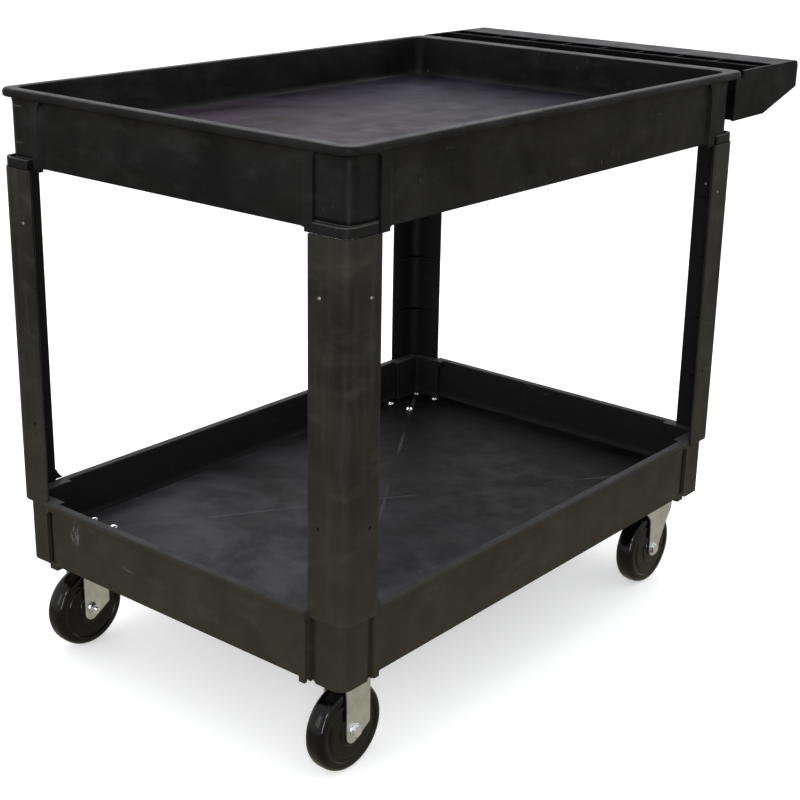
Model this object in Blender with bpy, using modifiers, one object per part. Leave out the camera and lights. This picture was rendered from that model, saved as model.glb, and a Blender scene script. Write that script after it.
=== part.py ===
"""Rolling utility cart: two moulded tub trays on four corner posts, with a push handle and four casters.

Frame: metres, +Z up, ground at z = 0, +X towards the handle, the cart symmetric about y = 0.
Distances along X in the named sizes are counted from the middle of the trays, CART_X.
"""
import math

import bmesh
import bpy
from mathutils import Matrix, Vector

# ---- driving dimensions (metres) ----
GAP = 0.0003                        # clearance between neighbouring solids
CART_X = -0.0962                    # middle of the trays, so that the whole cart is centred on x = 0

LOWER_RIM = (0.4775, 0.325)         # half length and half width over the lower rim
LOWER_RIM_Z = 0.2586
LOWER_FLOOR_Z = 0.187
LOWER_BASE_Z = 0.160
LOWER_FOOT_Z = 0.152               # corner blocks and the tabs beside them reach a little lower
LOWER_BLOCK = (0.4635, 0.3185)      # outer faces of the corner blocks that the posts stand over
LOWER_NOTCH = (0.4037, 0.2617)      # the rim and wall stop here, short of each corner

UPPER_WALL = (0.455, 0.318)
UPPER_RIM_BACK = -0.463
UPPER_RIM_FRONT = 0.480
UPPER_RIM_Y = 0.327
UPPER_RIM_Z = 0.8633
UPPER_FLOOR_Z = 0.798
UPPER_BASE_Z = 0.7575
UPPER_CAVITY = (0.447, 0.311)

POST_CORNER = (0.4685, 0.3265)      # outer faces of a post
POST_WING = 0.0645
POST_WALL = 0.0045
POST_FOOT_Z = 0.2495
POST_TOP_Z = 0.7545
POST_WEB_Z = (0.350, 0.452, 0.556, 0.656)
POST_HOLE_Z = (0.378, 0.679)

HANDLE_START = 0.457
HANDLE_END = 0.670
HANDLE_HALF_Y = 0.3235
HANDLE_WALL = 0.004
GRIP_START = 0.590                  # inner edge of the flat grip bar
RIB_X = 0.545                       # the thin rib between the grip and the tray
POCKET_PITCH = 0.075
FLANGE_HALF_Y = 0.240               # the screwed flange stops short of the tray's upright ribs

CASTER_AT = (0.4015, 0.269)
CASTER_PLATE = (0.100, 0.066, 0.003)
PLATE_TOP_Z = 0.1615
BOLT_PITCH = (0.078, 0.046)
WHEEL_R = 0.0635
WHEEL_HALF = 0.016
HUB_HALF = 0.018
FORK_INNER = 0.0186
FORK_WALL = 0.003
RIGID_OFFSET = 0.0035               # the fixed axles sit this far behind their plates' middles
SWIVEL_TRAIL = 0.0325               # the swivelling wheels trail towards -X
HEX_FLATS = 0.0155                  # axle bolt head and nut

COLOURS = {
    "tray_plastic": ((0.022, 0.022, 0.024), 0.48, 0.0),
    "post_plastic": ((0.026, 0.026, 0.026), 0.50, 0.0),
    "handle_plastic": ((0.022, 0.022, 0.024), 0.48, 0.0),
    "wheel_rubber": ((0.016, 0.015, 0.014), 0.22, 0.0),
    "zinc_steel": ((0.62, 0.61, 0.58), 0.34, 1.0),
    "bolt_steel": ((0.66, 0.66, 0.66), 0.28, 1.0),
    "bushing_steel": ((0.45, 0.44, 0.42), 0.40, 1.0),
}
CORNERS = [(-1, -1), (-1, 1), (1, -1), (1, 1)]
END_NAME = {-1: "rear", 1: "front"}
SIDE_NAME = {-1: "right", 1: "left"}


# ---- scene, material and mesh helpers ----
def clear_scene():
    for item in list(bpy.data.objects):
        bpy.data.objects.remove(item, do_unlink=True)


def new_collection(name):
    group = bpy.data.collections.new(name)
    bpy.context.scene.collection.children.link(group)
    return group


def material(slot):
    found = bpy.data.materials.get(slot)
    if found:
        return found
    colour, roughness, metallic = COLOURS[slot]
    made = bpy.data.materials.new(slot)
    made.use_nodes = True
    shader = made.node_tree.nodes["Principled BSDF"]
    shader.inputs["Base Color"].default_value = (*colour, 1.0)
    shader.inputs["Roughness"].default_value = roughness
    shader.inputs["Metallic"].default_value = metallic
    made.diffuse_color = (*colour, 1.0)
    return made


def part(name, mesh, slot, at=(0, 0, 0)):
    """Link a mesh as one named sub-part."""
    item = bpy.data.objects.new(name, mesh)
    item.location = at
    PARTS.objects.link(item)
    mesh.materials.clear()
    mesh.materials.append(material(slot))
    return item


def boolean(item, operation, *meshes):
    """Join meshes to an object, or cut them away. The meshes in one call don't overlap each other."""
    tool = bpy.data.objects.new(f"{item.name}_{operation.lower()}_{len(item.modifiers)}", merged(meshes))
    tool.hide_render = True
    tool.display_type = "WIRE"
    CUTTERS.objects.link(tool)
    step = item.modifiers.new(tool.name, "BOOLEAN")
    step.operation = operation
    step.solver = "EXACT"
    step.object = tool


def join(item, *meshes):
    boolean(item, "UNION", *meshes)


def cut(item, *meshes):
    boolean(item, "DIFFERENCE", *meshes)


def merged(meshes):
    bm = bmesh.new()
    for mesh in meshes:
        bm.from_mesh(mesh)
        bpy.data.meshes.remove(mesh)
    return finished(bm)


def finished(bm):
    bmesh.ops.recalc_face_normals(bm, faces=bm.faces)
    for face in bm.faces:
        face.smooth = False
    mesh = bpy.data.meshes.new("shape")
    bm.to_mesh(mesh)
    bm.free()
    return mesh


def block(low, high, corner=0.0, segments=4, edge=0.0, edge_segments=2):
    """A box between two opposite corners, with rounded upright edges and, if asked, rounded rims."""
    low = Vector(low)
    high = Vector(high)
    bm = bmesh.new()
    bmesh.ops.create_cube(bm, size=1.0)
    bmesh.ops.scale(bm, vec=high - low, verts=bm.verts)
    bmesh.ops.translate(bm, vec=(high + low) / 2, verts=bm.verts)
    if corner:
        upright = [e for e in bm.edges if abs(e.verts[0].co.z - e.verts[1].co.z) > 1e-6]
        bmesh.ops.bevel(bm, geom=upright, offset=corner, segments=segments, profile=0.5, affect="EDGES")
    if edge:
        rims = [e for e in bm.edges if abs(e.verts[0].co.z - e.verts[1].co.z) < 1e-6]
        bmesh.ops.bevel(bm, geom=rims, offset=edge, segments=edge_segments, profile=0.5, affect="EDGES")
    return finished(bm)


def spread(x, y):
    """The part of the plan between two mirrored stations along X and along Y, around the trays' middle."""
    return (CART_X - x, -y), (CART_X + x, y)


def tub(x, y, low, high, **rounding):
    """A block centred on the trays' middle."""
    near, far = spread(x, y)
    return block((*near, low), (*far, high), **rounding)


def corner_block(signs, x_span, y_span, low, high, **rounding):
    """A block in one corner of the cart, its spans given as distances from the trays' middle."""
    xs = sorted(CART_X + signs[0] * x for x in x_span)
    ys = sorted(signs[1] * y for y in y_span)
    return block((xs[0], ys[0], low), (xs[1], ys[1], high), **rounding)


def corner_prism(signs, x_span, y_span, radius, low, high, steps=4):
    """As corner_block, with only the outermost upright edge rounded."""
    x0, x1 = x_span
    y0, y1 = y_span
    outline = [(x0, y0), (x1, y0)] + arc((x1 - radius, y1 - radius), radius, 0, 90, steps) + [(x0, y1)]
    return extruded([(CART_X + signs[0] * x, signs[1] * y) for x, y in outline], low, high)


def cylinder(radius, low, high, axis="Z", at=(0, 0), sides=16):
    """A closed cylinder between two stations of an axis; `at` holds its other two coordinates."""
    bm = bmesh.new()
    bmesh.ops.create_cone(bm, cap_ends=True, segments=sides, radius1=radius, radius2=radius,
                          depth=high - low)
    middle = (low + high) / 2
    if axis == "Z":
        matrix = Matrix.Translation((at[0], at[1], middle))
    elif axis == "Y":
        matrix = Matrix.Translation((at[0], middle, at[1])) @ Matrix.Rotation(math.pi / 2, 4, "X")
    else:
        matrix = Matrix.Translation((middle, at[0], at[1])) @ Matrix.Rotation(math.pi / 2, 4, "Y")
    bmesh.ops.transform(bm, matrix=matrix, verts=bm.verts)
    return finished(bm)


def arc(centre, radius, start, end, steps):
    """Points on an arc, angles in degrees."""
    angles = [math.radians(start + (end - start) * i / steps) for i in range(steps + 1)]
    return [(centre[0] + radius * math.cos(t), centre[1] + radius * math.sin(t)) for t in angles]


def extruded(points, low, high, plane="XY"):
    """A flat outline in the XY, XZ or YZ plane, thickened between two stations of the third axis."""
    curve = bpy.data.curves.new("outline", "CURVE")
    curve.dimensions = "2D"
    curve.fill_mode = "BOTH"
    curve.extrude = (high - low) / 2
    spline = curve.splines.new("POLY")
    spline.points.add(len(points) - 1)
    for point, (across, up) in zip(spline.points, points):
        point.co = (across, up, 0, 1)
    spline.use_cyclic_u = True
    holder = bpy.data.objects.new("outline", curve)
    CUTTERS.objects.link(holder)
    reading = holder.evaluated_get(bpy.context.evaluated_depsgraph_get())
    mesh = bpy.data.meshes.new_from_object(reading)
    bpy.data.objects.remove(holder, do_unlink=True)
    bpy.data.curves.remove(curve)
    bm = bmesh.new()
    bm.from_mesh(mesh)
    bpy.data.meshes.remove(mesh)
    bmesh.ops.remove_doubles(bm, verts=bm.verts, dist=1e-6)
    middle = (low + high) / 2
    turn = Matrix.Translation((0, 0, middle))
    if plane == "XZ":
        turn = Matrix.Translation((0, middle, 0)) @ Matrix.Rotation(math.pi / 2, 4, "X")
    elif plane == "YZ":
        turn = Matrix(((0, 0, 1, middle), (1, 0, 0, 0), (0, 1, 0, 0), (0, 0, 0, 1)))
    bmesh.ops.transform(bm, matrix=turn, verts=bm.verts)
    return finished(bm)


def turned(name, profile, slot, at, steps, along_y=False):
    """A turned sub-part: a closed profile of (radius, height) points that starts down its outer side."""
    bm = bmesh.new()
    verts = [bm.verts.new((radius, 0.0, height)) for radius, height in profile]
    for first, second in zip(verts, verts[1:]):
        bm.edges.new((first, second))
    if profile[0][0] > 1e-6 and profile[-1][0] > 1e-6:
        bm.edges.new((verts[-1], verts[0]))
    mesh = bpy.data.meshes.new(name)
    bm.to_mesh(mesh)
    bm.free()
    item = part(name, mesh, slot, at)
    screw = item.modifiers.new("turn", "SCREW")
    screw.steps = steps
    screw.render_steps = steps
    screw.use_merge_vertices = True
    screw.merge_threshold = 0.00001
    if along_y:
        item.rotation_euler = (math.pi / 2, 0, 0)
    return item


# ---- lower tray ----
def lower_inside(margin, low, high):
    """The inside of the lower tub: a rectangle whose corners step inwards where the posts stand."""
    long_way = tub(LOWER_NOTCH[0] - 0.0107, LOWER_RIM[1] - margin, low, high)
    wide_way = tub(LOWER_RIM[0] - margin, LOWER_NOTCH[1] - 0.0107, low, high)
    corners = tub(LOWER_BLOCK[0] - 0.0115, LOWER_BLOCK[1] - 0.018, low, high, corner=0.006, segments=3)
    return long_way, wide_way, corners


def flutes():
    """Round-topped grooves between each wall's end and its corner block."""
    shapes = []
    half = 0.005
    for end, side in CORNERS:
        top = POST_FOOT_Z - 0.007
        across = side * (LOWER_NOTCH[1] + half + 0.0006)
        outline = [(across - half, 0.14), (across + half, 0.14)] + arc((across, top), half, 0, 180, 6)
        span = sorted(CART_X + end * x for x in (LOWER_BLOCK[0] - 0.005, LOWER_BLOCK[0] + 0.02))
        shapes.append(extruded(outline, *span, plane="YZ"))
        across = CART_X + end * (LOWER_NOTCH[0] + half + 0.0006)
        outline = [(across - half, 0.14), (across + half, 0.14)] + arc((across, top), half, 0, 180, 6)
        span = sorted(side * y for y in (LOWER_BLOCK[1] - 0.005, LOWER_BLOCK[1] + 0.02))
        shapes.append(extruded(outline, *span, plane="XZ"))
    return shapes


def bolt_places(signs):
    for along in (-1, 1):
        for across in (-1, 1):
            yield (CART_X + signs[0] * CASTER_AT[0] + along * BOLT_PITCH[0] / 2,
                   signs[1] * CASTER_AT[1] + across * BOLT_PITCH[1] / 2)


def build_lower_tray():
    tray = part("lower_tray", tub(LOWER_RIM[0] - 0.0035, LOWER_RIM[1] - 0.0035, LOWER_BASE_Z,
                                  LOWER_RIM_Z - 0.002), "tray_plastic")
    join(tray, tub(*LOWER_RIM, LOWER_RIM_Z - 0.0076, LOWER_RIM_Z, edge=0.0022))
    cut(tray, *[corner_block(c, (LOWER_NOTCH[0], 0.52), (LOWER_NOTCH[1], 0.36), 0.1, 0.3) for c in CORNERS])
    join(tray, *[corner_prism(c, (LOWER_NOTCH[0] - 0.006, LOWER_BLOCK[0]),
                              (LOWER_NOTCH[1] - 0.006, LOWER_BLOCK[1]),
                              0.018, LOWER_FOOT_Z, LOWER_RIM_Z - 0.003) for c in CORNERS])
    for shape in lower_inside(0.015, LOWER_FLOOR_Z, 0.32):
        cut(tray, shape)
    for shape in lower_inside(0.0095, 0.1, LOWER_FLOOR_Z - 0.005)[:2]:
        cut(tray, shape)
    cut(tray, tub(LOWER_BLOCK[0] - 0.0085, LOWER_BLOCK[1] - 0.0085, 0.1, LOWER_FLOOR_Z - 0.005))
    join(tray, *[corner_block(c, (CASTER_AT[0] - 0.053, CASTER_AT[0] + 0.056),
                              (CASTER_AT[1] - 0.036, CASTER_AT[1] + 0.0445),
                              PLATE_TOP_Z + GAP, LOWER_FLOOR_Z - 0.0016) for c in CORNERS])
    low = LOWER_RIM_Z - 0.0110
    join(tray, *[corner_block(c, (LOWER_RIM[0] - 0.0255, LOWER_RIM[0] - 0.010),
                              (LOWER_NOTCH[1] - 0.018, LOWER_NOTCH[1] - 0.0008),
                              low, LOWER_RIM_Z - 0.0004) for c in CORNERS],
         *[corner_block(c, (LOWER_NOTCH[0] - 0.011, LOWER_NOTCH[0] - 0.0008),
                        (LOWER_RIM[1] - 0.0245, LOWER_RIM[1] - 0.010),
                        low, LOWER_RIM_Z - 0.0004) for c in CORNERS])
    cut(tray, *flutes())
    tab_x = (LOWER_NOTCH[0] - 0.0110, LOWER_NOTCH[0] - 0.0010)
    tab_y = (LOWER_NOTCH[1] - 0.0110, LOWER_NOTCH[1] - 0.0010)
    wall = (LOWER_RIM[0] - 0.0038, LOWER_RIM[1] - 0.0038)
    join(tray, *[corner_block(c, (wall[0] - 0.0050, wall[0]), tab_y, LOWER_FOOT_Z, 0.170) for c in CORNERS],
         *[corner_block(c, tab_x, (wall[1] - 0.0050, wall[1]), LOWER_FOOT_Z, 0.170) for c in CORNERS])
    cut(tray, *[cylinder(0.0042, 0.14, 0.21, at=spot, sides=10) for c in CORNERS for spot in bolt_places(c)])


# ---- upper tray ----
def upper_ribs():
    """Upright ribs with round tops on both sides of each corner recess."""
    shapes = []
    low = UPPER_BASE_Z - 0.005
    top = 0.841
    for end, side in CORNERS:
        for centre, half, plane in ((0.395, 0.009, "XZ"), (0.2555, 0.0065, "YZ")):
            sign = end if plane == "XZ" else side
            across = sign * centre + (CART_X if plane == "XZ" else 0)
            outline = [(across - half, low), (across + half, low)] + arc((across, top - half + 0.006), half,
                                                                         0, 180, 6)
            wall = UPPER_WALL[1] if plane == "XZ" else UPPER_WALL[0]
            sign = side if plane == "XZ" else end
            offset = 0 if plane == "XZ" else CART_X
            span = sorted(offset + sign * (wall + d) for d in (-0.005, 0.0042))
            shapes.append(extruded(outline, *span, plane=plane))
    return shapes


def build_upper_tray():
    tray = part("upper_tray", tub(*UPPER_WALL, UPPER_BASE_Z, UPPER_RIM_Z - 0.004, corner=0.012, segments=3),
                "tray_plastic")
    join(tray, block((CART_X + UPPER_RIM_BACK, -UPPER_RIM_Y, UPPER_RIM_Z - 0.012),
                     (CART_X + UPPER_RIM_FRONT, UPPER_RIM_Y, UPPER_RIM_Z),
                     corner=0.022, segments=5, edge=0.0045, edge_segments=2))
    join(tray, *upper_ribs())
    collar = (POST_CORNER[0] - 0.003, POST_CORNER[1] - 0.003)
    join(tray, *[corner_block(c, (collar[0] - 0.062, collar[0]), (collar[1] - 0.062, collar[1]),
                              POST_TOP_Z + GAP, 0.7687, corner=0.018, segments=4) for c in CORNERS])
    cut(tray, tub(*UPPER_CAVITY, UPPER_FLOOR_Z, 0.92, corner=0.018, segments=4))
    inner = (UPPER_WALL[0] - 0.005, UPPER_WALL[1] - 0.005)
    cut(tray, tub(inner[0] - 0.0575, inner[1], 0.72, UPPER_FLOOR_Z - 0.005))
    cut(tray, tub(inner[0], inner[1] - 0.0575, 0.72, UPPER_FLOOR_Z - 0.005))
    cut(tray, tub(*inner, 0.7687 + 0.001, UPPER_FLOOR_Z - 0.005))
    cut(tray, *[cylinder(0.0028, CART_X + 0.4485, CART_X + 0.47, axis="X", at=spot, sides=10)
                for spot in HANDLE_SCREWS])


# ---- corner posts ----
def post_outline(wing, wall, radius, steps, start=0.0):
    """An angle section in the quadrant (+, +): outer faces at POST_CORNER less `start`."""
    x, y = (c - start for c in POST_CORNER)
    outer = arc((x - radius, y - radius), radius, 90, 0, steps)
    inner = arc((x - radius, y - radius), radius - wall, 0, 90, steps)
    return [(x - wing, y)] + outer + [(x, y - wing), (x - wall, y - wing)] + inner + [(x - wing, y - wall)]


def build_post(end, side):
    def here(points):
        return [(CART_X + end * x, side * y) for x, y in points]

    name = f"post_{END_NAME[end]}_{SIDE_NAME[side]}"
    section = extruded(here(post_outline(POST_WING, POST_WALL, 0.021, 6)), POST_FOOT_Z, POST_TOP_Z)
    post = part(name, section, "post_plastic")
    x, y = (c - 0.002 for c in POST_CORNER)
    web = [(x - 0.0525, y)] + arc((x - 0.0195, y - 0.0195), 0.0195, 90, 0, 3) + [(x, y - 0.0525)]
    web += [(x - 0.0035, y - 0.0525), (x - 0.0095, y - 0.0300), (x - 0.0180, y - 0.0180)]
    web += [(x - 0.0300, y - 0.0095), (x - 0.0525, y - 0.0035)]
    join(post, *[extruded(here(web), z - 0.0015, z + 0.0015) for z in POST_WEB_Z])
    if end < 0:
        low = LOWER_RIM_Z + 2 * GAP
        foot = [(0.003, low), (-0.010, low), (-0.010, low + 0.003), (0.0005, low + 0.014), (0.003, low + 0.014)]
        outline = [(CART_X + end * (POST_CORNER[0] - POST_WING + a), z) for a, z in foot]
        span = sorted(side * v for v in (POST_CORNER[1] - 0.0004, POST_CORNER[1] - POST_WALL - 0.0006))
        join(post, extruded(outline, *span, plane="XZ"))
    hole_x = CART_X + end * (POST_CORNER[0] - POST_WING + 0.019)
    hole_y = side * (POST_CORNER[1] - POST_WING + 0.019)
    reach_y = sorted(side * v for v in (0.30, 0.34))
    reach_x = sorted(CART_X + end * v for v in (0.44, 0.49))
    cut(post, *[cylinder(0.0028, *reach_y, axis="Y", at=(hole_x, z), sides=10) for z in POST_HOLE_Z],
        *[cylinder(0.0028, *reach_x, axis="X", at=(hole_y, z), sides=10) for z in POST_HOLE_Z])


# ---- push handle ----
HANDLE_SCREWS = [(y, z) for y in (-0.20, 0.20) for z in (0.808, 0.836)]


def build_handle():
    end = CART_X + HANDLE_END
    start = CART_X + HANDLE_START
    top = UPPER_RIM_Z
    rim = CART_X + UPPER_RIM_FRONT + GAP
    ledge = UPPER_RIM_Z - 0.012 - GAP
    profile = [(rim, top)] + arc((end - 0.008, top - 0.008), 0.008, 90, 0, 4)
    profile += [(end, 0.8206), (CART_X + 0.5594, 0.7866), (start, 0.7854), (start, ledge), (rim, ledge)]
    handle = part("push_handle", extruded(profile, -HANDLE_HALF_Y, HANDLE_HALF_Y, plane="XZ"),
                  "handle_plastic")
    inside = HANDLE_HALF_Y - HANDLE_WALL
    grip = CART_X + GRIP_START
    rib = CART_X + RIB_X
    cut(handle, block((start + HANDLE_WALL, -inside, 0.7), (rib - 0.0015, inside, 0.95)))
    cut(handle, block((rib - 0.002, -inside, 0.7), (grip + HANDLE_WALL, inside, 0.825)))
    cut(handle, block((rib + 0.0015, -inside, 0.82), (grip, inside, 0.845)))
    cut(handle, block((grip + HANDLE_WALL, -inside, 0.7), (end - HANDLE_WALL, inside, top - HANDLE_WALL)))
    edges = [-inside - 0.0015] + [POCKET_PITCH * i for i in range(-3, 4)] + [inside + 0.0015]
    cut(handle, *[block((rib + 0.0015, low + 0.0015, 0.849), (grip, high - 0.0015, 0.9))
                  for low, high in zip(edges, edges[1:])])
    join(handle, *[block((start + 0.001, side * FLANGE_HALF_Y - 0.0015, 0.825),
                         (rib, side * FLANGE_HALF_Y + 0.0015, ledge)) for side in (-1, 1)])
    for side in (-1, 1):
        low, high = sorted((side * (FLANGE_HALF_Y + 0.0025), side * inside))
        cut(handle, block((start - 0.01, low, 0.7), (rib - 0.01, high, 0.95)))
    cut(handle, *[cylinder(0.0028, start - 0.01, start + 0.01, axis="X", at=spot, sides=10)
                  for spot in HANDLE_SCREWS])


def build_handle_screws():
    seat = CART_X + HANDLE_START + HANDLE_WALL + GAP
    for index, (y, z) in enumerate(HANDLE_SCREWS, start=1):
        screw = part(f"handle_screw_{index}", cylinder(0.0055, seat, seat + 0.0035, axis="X", at=(y, z),
                                                       sides=12), "bolt_steel")
        join(screw, cylinder(0.0025, CART_X + 0.4488, seat + 0.001, axis="X", at=(y, z), sides=10))


# ---- casters ----
def hexagon(across_flats, low, high, axis, at):
    return cylinder(across_flats / math.sqrt(3), low, high, axis=axis, at=at, sides=6)


def caster_plate_mesh(signs):
    x = CART_X + signs[0] * CASTER_AT[0]
    y = signs[1] * CASTER_AT[1]
    half = (CASTER_PLATE[0] / 2, CASTER_PLATE[1] / 2)
    return block((x - half[0], y - half[1], PLATE_TOP_Z - CASTER_PLATE[2]),
                 (x + half[0], y + half[1], PLATE_TOP_Z), corner=0.006, segments=2)


def fork_cheeks(outline, y):
    """Two upright cheeks, one on each side of the wheel."""
    inner = FORK_INNER
    outer = FORK_INNER + FORK_WALL
    return [extruded(outline, *sorted(y + s * d for d in (inner, outer)), plane="XZ") for s in (-1, 1)]


def build_rigid_caster(side):
    tag = f"rear_{SIDE_NAME[side]}"
    signs = (-1, side)
    x = CART_X - CASTER_AT[0] - RIGID_OFFSET
    y = side * CASTER_AT[1]
    below = PLATE_TOP_Z - CASTER_PLATE[2]
    fork = part(f"rigid_fork_{tag}", caster_plate_mesh(signs), "zinc_steel")
    outline = [(x + 0.031, below + 0.001), (x - 0.0165, below + 0.001)]
    outline += arc((x - 0.004, 0.0580), 0.0125, 180, 290, 5) + [(x + 0.030, 0.0655)]
    join(fork, *fork_cheeks(outline, y))
    cut(fork, cylinder(0.0043, y - 0.03, y + 0.03, axis="Y", at=(x, WHEEL_R), sides=12))
    cut(fork, *[cylinder(0.0042, 0.14, 0.18, at=spot, sides=10) for spot in bolt_places(signs)])
    build_wheel_set(tag, x, y, side)


def build_swivel_caster(side):
    tag = f"front_{SIDE_NAME[side]}"
    signs = (1, side)
    pin_x = CART_X + CASTER_AT[0]
    y = side * CASTER_AT[1]
    x = pin_x - SWIVEL_TRAIL
    below = PLATE_TOP_Z - CASTER_PLATE[2]
    plate = part(f"caster_plate_{tag}", caster_plate_mesh(signs), "zinc_steel")
    cut(plate, *[cylinder(0.0042, 0.14, 0.18, at=spot, sides=10) for spot in bolt_places(signs)])
    cut(plate, cylinder(0.0063, 0.14, 0.18, at=(pin_x, y), sides=20))
    race = [(0.0235, 0.0052), (0.0250, 0.0030), (0.0250, -0.0030), (0.0235, -0.0052),
            (0.0066, -0.0052), (0.0066, 0.0052)]
    turned(f"bearing_race_{tag}", race, "zinc_steel", (pin_x, y, below - GAP - 0.0052), steps=24)
    crown_top = below - 2 * GAP - 0.0104
    crown_low = crown_top - 0.0085
    fork = part(f"swivel_fork_{tag}", cylinder(0.027, crown_low, crown_top, at=(pin_x, y), sides=32),
                "zinc_steel")
    join(fork, block((x - 0.024, y - FORK_INNER - FORK_WALL, crown_low + 0.001),
                     (pin_x + 0.021, y + FORK_INNER + FORK_WALL, crown_top - 0.004)))
    outline = [(x + 0.0540, crown_low + 0.002), (x - 0.024, crown_low + 0.002), (x - 0.024, 0.130)]
    outline += [(x - 0.0125, 0.119), (x - 0.0105, 0.070)]
    outline += arc((x + 0.003, WHEEL_R - 0.0010), 0.0137, 180, 340, 6)
    outline += [(x + 0.0545, 0.125)]
    join(fork, *fork_cheeks(outline, y))
    cut(fork, cylinder(0.0043, y - 0.03, y + 0.03, axis="Y", at=(x, WHEEL_R), sides=12))
    cut(fork, cylinder(0.0063, 0.12, 0.16, at=(pin_x, y), sides=20))
    pin = part(f"kingpin_{tag}", cylinder(0.0060, crown_low - 0.003, PLATE_TOP_Z - GAP, at=(pin_x, y),
                                          sides=20), "bolt_steel")
    join(pin, hexagon(0.016, crown_low - GAP - 0.006, crown_low - GAP, "Z", (pin_x, y)))
    build_wheel_set(tag, x, y, side)


def build_wheel_set(tag, x, y, side):
    """Wheel, bushing, axle bolt and nut, all about the axle that runs along Y."""
    face = WHEEL_HALF
    half = [(WHEEL_R - 0.0045, face), (0.0510, face), (0.0495, face - 0.0015), (0.0460, face - 0.0015),
            (0.0445, face), (0.0215, face), (0.0190, HUB_HALF), (0.0068, HUB_HALF)]
    tread = [(WHEEL_R - 0.0012, face - 0.0022), (WHEEL_R, face - 0.0070)]
    profile = tread + [(r, -h) for r, h in reversed(tread)] + [(r, -h) for r, h in half] + half[::-1]
    turned(f"wheel_{tag}", profile, "wheel_rubber", (x, y, WHEEL_R), steps=32, along_y=True)
    tube = HUB_HALF + 0.0003
    bushing = [(0.0065, tube), (0.0065, -tube), (0.0043, -tube), (0.0043, tube)]
    turned(f"hub_bushing_{tag}", bushing, "bushing_steel", (x, y, WHEEL_R), steps=16, along_y=True)
    cheek = FORK_INNER + FORK_WALL + GAP
    nut_span = sorted(y - side * d for d in (cheek, cheek + 0.0065))
    head_span = sorted(y + side * d for d in (cheek, cheek + 0.0055))
    shank = sorted((y + side * (cheek + 0.001), y - side * (cheek + 0.009)))
    bolt = part(f"axle_bolt_{tag}", cylinder(0.0040, *shank, axis="Y", at=(x, WHEEL_R), sides=16),
                "bolt_steel")
    join(bolt, hexagon(HEX_FLATS, *head_span, "Y", (x, WHEEL_R)))
    nut = part(f"axle_nut_{tag}", hexagon(HEX_FLATS, *nut_span, "Y", (x, WHEEL_R)), "bolt_steel")
    cut(nut, cylinder(0.0043, y - 0.05, y + 0.05, axis="Y", at=(x, WHEEL_R), sides=16))


def build_carriage_bolts(signs):
    """Domed bolts through the tray floor and the caster plate, each with its nut run up tight."""
    head_z = LOWER_FLOOR_Z + GAP
    nut_top = PLATE_TOP_Z - CASTER_PLATE[2] - GAP
    nut_low = nut_top - 0.0065
    profile = [(0.0, head_z + 0.0040)] + [(0.0082 * math.sin(math.radians(a)),
                                           head_z + 0.0040 * math.cos(math.radians(a))) for a in (35, 65, 90)]
    profile += [(0.0039, head_z), (0.0039, nut_low - 0.003), (0.0, nut_low - 0.003)]
    for index, (x, y) in enumerate(bolt_places(signs), start=1):
        name = f"carriage_bolt_{END_NAME[signs[0]]}_{SIDE_NAME[signs[1]]}_{index}"
        bolt = turned(name, profile, "bolt_steel", (x, y, 0), steps=8)
        join(bolt, hexagon(0.012, nut_low, nut_top, "Z", (x, y)))


clear_scene()
PARTS = new_collection("rolling_utility_cart")
CUTTERS = new_collection("cutters")
build_lower_tray()
build_upper_tray()
for corner in CORNERS:
    build_post(*corner)
build_handle()
build_handle_screws()
for each_side in (-1, 1):
    build_rigid_caster(each_side)
    build_swivel_caster(each_side)
for corner in CORNERS:
    build_carriage_bolts(corner)
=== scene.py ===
"""Looks of a rolling utility cart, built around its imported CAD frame.

The two tubs, the posts, the handle and the caster parts are remodelled with moulded radii, lips,
flutes, pockets and pressed edges, and every piece gets a procedural material. Units are metres,
+Z up.
"""
import math

import bmesh
import bpy
from mathutils import Matrix, Vector


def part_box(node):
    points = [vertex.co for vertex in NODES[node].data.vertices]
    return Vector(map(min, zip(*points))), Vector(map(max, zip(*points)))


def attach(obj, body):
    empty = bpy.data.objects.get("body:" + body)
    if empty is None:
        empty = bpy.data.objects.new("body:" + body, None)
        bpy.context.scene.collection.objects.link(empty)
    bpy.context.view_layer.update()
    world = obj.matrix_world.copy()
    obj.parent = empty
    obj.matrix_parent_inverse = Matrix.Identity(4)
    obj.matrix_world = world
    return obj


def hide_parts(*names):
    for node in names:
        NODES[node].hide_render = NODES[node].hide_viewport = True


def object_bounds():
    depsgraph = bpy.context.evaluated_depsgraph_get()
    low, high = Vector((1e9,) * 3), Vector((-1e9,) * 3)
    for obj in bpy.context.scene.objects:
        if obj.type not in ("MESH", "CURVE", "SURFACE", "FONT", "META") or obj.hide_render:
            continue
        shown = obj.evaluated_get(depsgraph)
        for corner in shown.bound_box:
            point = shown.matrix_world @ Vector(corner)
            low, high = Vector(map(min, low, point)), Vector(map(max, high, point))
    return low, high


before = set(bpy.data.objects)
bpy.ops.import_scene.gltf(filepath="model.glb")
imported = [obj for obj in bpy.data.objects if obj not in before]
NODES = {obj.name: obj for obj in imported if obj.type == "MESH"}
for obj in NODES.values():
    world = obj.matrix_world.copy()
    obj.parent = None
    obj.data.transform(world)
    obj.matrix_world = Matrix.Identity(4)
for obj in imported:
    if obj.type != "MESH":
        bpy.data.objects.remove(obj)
cad_low, cad_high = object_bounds()
CART = "cart"
ENDS = {-1: "rear", 1: "front"}
SIDES = {-1: "right", 1: "left"}
CORNERS = [(e, s) for e in (-1, 1) for s in (-1, 1)]

# ---- sizes read from the frame ----
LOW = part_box("lower_tray")
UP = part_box("upper_tray")
X0 = (LOW[0].x + LOW[1].x) / 2                  # the trays' middle
RIM = Vector((LOW[1].x - X0, LOW[1].y, LOW[1].z))
TOP_Z = UP[1].z

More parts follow.
